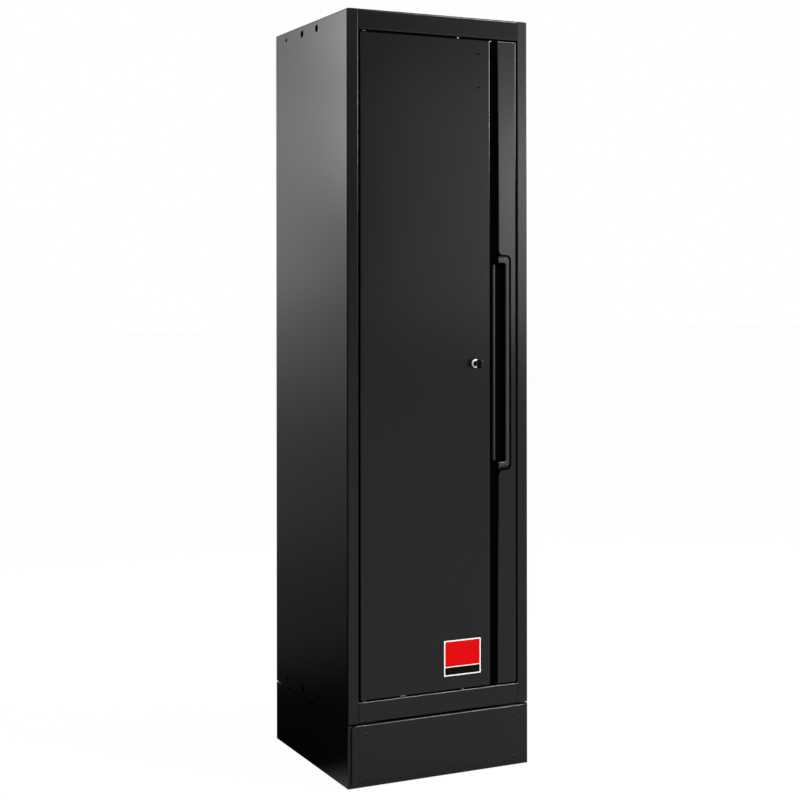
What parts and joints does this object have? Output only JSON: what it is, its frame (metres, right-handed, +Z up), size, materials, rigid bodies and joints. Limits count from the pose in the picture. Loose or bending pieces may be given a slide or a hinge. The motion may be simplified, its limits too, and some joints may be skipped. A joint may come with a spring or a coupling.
{
  "type": "side locker",
  "caption": "Full-height sheet-steel workshop side locker with one hinged inset door, recessed pull, key lock with shooting rods and lift-out shelves on a plinth.",
  "frame": {"origin": "on the floor, at the centre of the cabinet's footprint", "axes": "+Z up, +X to the right and +Y to the back as seen from the front; the door is on the -Y side"},
  "size_m": [0.53, 0.5445, 2],
  "materials": {
    "body_paint": "fine-textured satin powder coat",
    "door_paint": "fine-textured satin powder coat",
    "plinth_paint": "fine-textured satin powder coat",
    "zinc_steel": "bright zinc plate",
    "black_plastic": "moulded, lightly grained",
    "liner_plastic": "dull, for the bottom of the channel",
    "bush_nylon": "self-lubricating nylon",
    "pale_nylon": "smooth nylon",
    "buffer_rubber": "soft rubber",
    "badge_face": "printed plastic plate with a pale border",
    "bright_chrome": "polished chrome plate",
    "lock_brass": "machined, unpolished",
    "key_steel": "nickel-plated",
    "key_plastic": "smooth moulded"
  },
  "bodies": {
    "cabinet": {"left_side_panel": "body_paint", "right_side_panel": "body_paint", "back_panel": "body_paint", "top_panel": "body_paint", "bottom_panel": "body_paint", "top_rail": "body_paint", "bottom_rail": "body_paint", "plinth_frame": "plinth_paint", "plinth_front_plate": "plinth_paint", "plinth_rivets": "plinth_paint", "plinth_corner_plates": "plinth_paint", "plinth_bolts": "zinc_steel", "plinth_nuts": "zinc_steel", "upright_front_left": "body_paint", "upright_front_right": "body_paint", "upright_back_left": "body_paint", "upright_back_right": "body_paint", "shelf_1": "body_paint", "shelf_2": "body_paint", "shelf_3": "body_paint", "shelf_4": "body_paint", "shelf_clips": "zinc_steel", "hinge_bracket_top": "zinc_steel", "hinge_bracket_bottom": "zinc_steel", "hinge_pin_top": "zinc_steel", "hinge_pin_bottom": "zinc_steel", "hinge_washer": "zinc_steel", "door_buffers": "buffer_rubber", "door_stop": "body_paint"},
    "door": {"door_panel": "door_paint", "channel_back": "door_paint", "door_strip": "door_paint", "channel_liner": "liner_plastic", "door_stiffener": "door_paint", "handle_grip": "black_plastic", "handle_screws": "zinc_steel", "hinge_bush_top": "bush_nylon", "hinge_bush_bottom": "bush_nylon", "rod_guides": "black_plastic", "lock_bezel": "bright_chrome", "lock_housing": "lock_brass", "lock_nut": "zinc_steel", "edge_glides": "pale_nylon", "badge_plate": "badge_face"},
    "lock_core": {"lock_plug": "bright_chrome", "lock_cam": "zinc_steel", "cam_screw": "zinc_steel"},
    "key": {"key_blade": "key_steel", "key_bow": "key_plastic"},
    "upper_rod": {"lock_rod_upper": "zinc_steel"},
    "lower_rod": {"lock_rod_lower": "zinc_steel"}
  },
  "joints": [
    {"name": "door_swing", "type": "hinge", "parent": "cabinet", "child": "door", "pos_m": [-0.217, -0.246, 1.082], "axis": [0, 0, -1], "range_deg": [0, 110]},
    {"name": "lock_turn", "type": "hinge", "parent": "door", "child": "lock_core", "pos_m": [0.1059, -0.253, 1.081], "axis": [0, -1, 0], "range_deg": [0, 90]},
    {"name": "key_pull", "type": "slide", "parent": "lock_core", "child": "key", "axis": [0, -1, 0], "range_m": [0, 0.03]},
    {"name": "upper_rod_shoot", "type": "slide", "parent": "door", "child": "upper_rod", "axis": [0, 0, 1], "range_m": [0, 0.01697]},
    {"name": "lower_rod_shoot", "type": "slide", "parent": "door", "child": "lower_rod", "axis": [0, 0, -1], "range_m": [0, 0.017]}
  ],
  "couplings": [
    {"joint": "lock_turn", "follows": "upper_rod_shoot", "rad_per_m": 92.56},
    {"joint": "lower_rod_shoot", "follows": "upper_rod_shoot", "ratio": 1}
  ]
}
